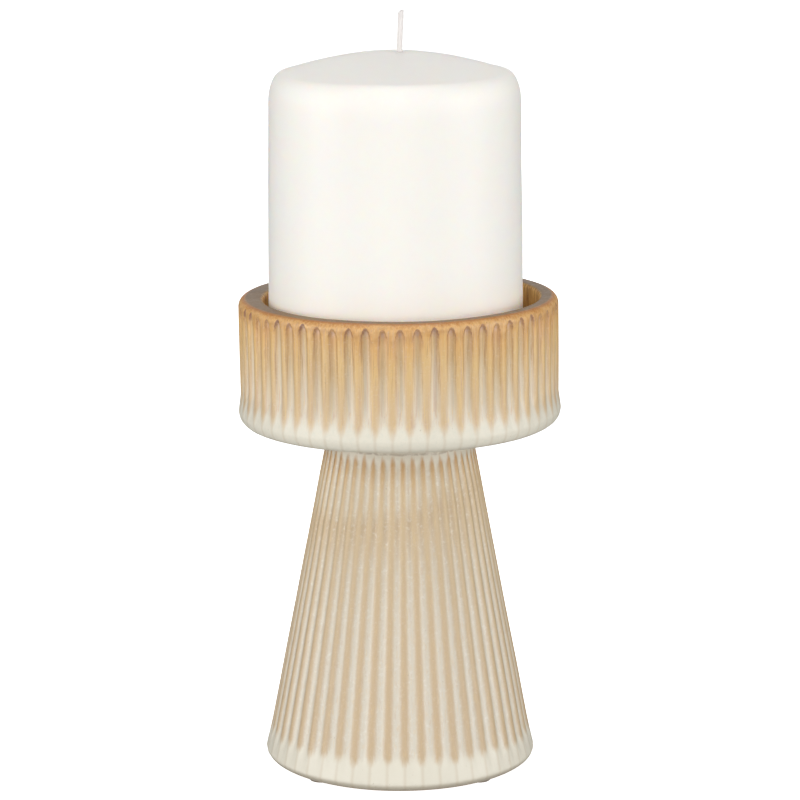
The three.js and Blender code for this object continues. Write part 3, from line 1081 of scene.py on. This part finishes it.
def add_sustainer():
    """A stamped disc with a raised bead near its edge and a crimped neck."""
    radius = tin_high.x
    height = tin_high.z - tin_low.z
    thickness = 0.5 * MM
    edge = 0.25 * MM
    inner = 1.15 * MM
    neck = 2.4 * MM
    neck_top = neck - 0.3 * MM
    fillet = 0.5 * MM
    bead = 0.8 * radius
    rings = 16
    outline = line((inner, 0), (radius - 0.2 * MM, 0), 8)
    outline += corner((radius - edge, thickness / 2), edge, thickness / 2, -90, 90, 6)[1:]
    for i in range(1, rings + 1):
        out = blend(radius - edge, neck + fillet, i / rings)
        outline.append((out, thickness + 0.25 * MM * bell(out, bead, 0.5 * MM)))
    outline += corner((neck + fillet, thickness + fillet), fillet, fillet, 270, 180, 4)[1:]
    outline += line((neck, thickness + fillet), (neck_top, height), 6)
    outline += line((neck_top, height), (inner, height), 2)
    outline += line((inner, height), (inner, 0), 5)

    def place(angle, radius, height, zone):
        pinch = 0.5 + 0.5 * math.cos(4 * angle)
        crimp = 1 - 0.12 * smooth(height, 2.2 * MM, 3.4 * MM) * pinch
        return candle_lean(at(angle, max(inner, radius * crimp), height + tin_low.z))

    outline = in_zone("tin", outline)
    piece = turned("stamped_sustainer", outline, TIN_COLUMNS, place, no_paint, tin_material())
    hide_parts("wick_sustainer")
    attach(piece, "candle")


# ---------------------------------------------------------------------------------------------
# Stage
# ---------------------------------------------------------------------------------------------

FLOOR_GREY = (246, 246, 246)
FLOOR_WHITE = (250, 250, 250)
LIGHTS_AIM = Vector((0, 0, 0.12))
WORLD_BRIGHT_SIDE = (0, -0.8, -0.6)
WORLD_RANGE = {"From Min": -0.1, "From Max": 0.9, "To Min": 0.14, "To Max": 0.6}


def add_floor():
    """A plain white floor that throws no light of its own onto the object."""
    reach = 9.0
    corners = [(-reach, -reach, 0), (reach, -reach, 0), (reach, reach, 0), (-reach, reach, 0)]
    finish = Finish("floor", Roughness=0.9, Emission_Color=(1, 1, 1, 1), Emission_Strength=1.0)
    colour = finish.mix(finish.noise(0.2), FLOOR_GREY, FLOOR_WHITE)
    floor = make_object("floor", corners, [(0, 1, 2, 3)], {}, finish.done(colour))
    floor.visible_diffuse = False
    floor.visible_glossy = False


def add_softbox(name, azimuth, elevation, distance, width, height, watts):
    """A rectangular light aimed at the object. Azimuth 0 is the camera's side."""
    angle = math.radians(azimuth)
    rise = math.radians(elevation)
    out = at(angle, distance * math.cos(rise), distance * math.sin(rise))
    light = bpy.data.lights.new(name, "AREA")
    light.shape = "RECTANGLE"
    light.size = width
    light.size_y = height
    light.energy = watts
    lamp = bpy.data.objects.new(name, light)
    bpy.context.scene.collection.objects.link(lamp)
    lamp.location = LIGHTS_AIM + out
    lamp.rotation_euler = out.to_track_quat("Z", "Y").to_euler()
    lamp.visible_camera = False


def add_world():
    """Soft light, strongest from below and from the camera's side. The camera itself sees white."""
    world = bpy.data.worlds.new("studio")
    world.use_nodes = True
    nodes = world.node_tree.nodes
    links = world.node_tree.links
    direction = nodes.new("ShaderNodeTexCoord")
    towards = nodes.new("ShaderNodeVectorMath")
    towards.operation = "DOT_PRODUCT"
    towards.inputs[1].default_value = WORLD_BRIGHT_SIDE
    bright = nodes.new("ShaderNodeMapRange")
    for socket, value in WORLD_RANGE.items():
        bright.inputs[socket].default_value = value
    links.new(direction.outputs["Generated"], towards.inputs[0])
    links.new(towards.outputs["Value"], bright.inputs["Value"])
    backdrop = nodes.new("ShaderNodeMath")
    backdrop.operation = "MAXIMUM"
    links.new(bright.outputs["Result"], backdrop.inputs[0])
    links.new(nodes.new("ShaderNodeLightPath").outputs["Is Camera Ray"], backdrop.inputs[1])
    links.new(backdrop.outputs["Value"], nodes["Background"].inputs["Strength"])
    nodes["Background"].inputs["Color"].default_value = (1, 1, 1, 1)
    bpy.context.scene.world = world


def add_studio():
    """The lights. Angles are in degrees, sizes and distances in metres."""
    add_world()
    add_softbox("softbox_left", -66, 8, distance=1.5, width=0.7, height=1.2, watts=13.2)
    add_softbox("softbox_right", 66, 8, distance=1.5, width=0.7, height=1.2, watts=13)
    add_softbox("softbox_front", -2, 14, distance=2.0, width=1.6, height=1.2, watts=9.6)
    add_softbox("softbox_top", 0, 80, distance=1.5, width=0.9, height=0.9, watts=5)
    add_softbox("softbox_back", 180, 25, distance=1.8, width=1.2, height=1.0, watts=4)
    bpy.context.scene.view_settings.view_transform = "Standard"


add_dish()
add_pedestal()
add_seam()
felt = felt_material()
for number in range(1, 5):
    add_pad(f"felt_pad_{number}", felt)
add_wax()
add_wick()
add_sustainer()
add_floor()
add_studio()
